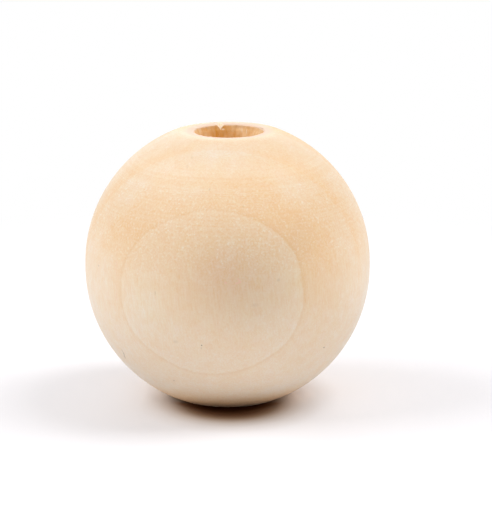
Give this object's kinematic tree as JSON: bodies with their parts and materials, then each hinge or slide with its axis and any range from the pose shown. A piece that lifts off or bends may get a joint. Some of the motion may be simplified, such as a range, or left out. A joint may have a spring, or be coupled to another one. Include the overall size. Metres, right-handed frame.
{
  "type": "wooden bead",
  "caption": "Round turned wooden bead with a flat at each end and a hole along its axis for a cord.",
  "frame": {"origin": "centre of the bead, halfway along its hole", "axes": "+Z runs along the hole towards the chipped end, +Y points away from the side that carries the oval of grain, +X to its right"},
  "size_m": [0.02, 0.02, 0.019],
  "materials": {
    "bare_wood": "bare, finely sanded, matt"
  },
  "bodies": {
    "root": {"bead": "bare_wood"}
  },
  "joints": []
}
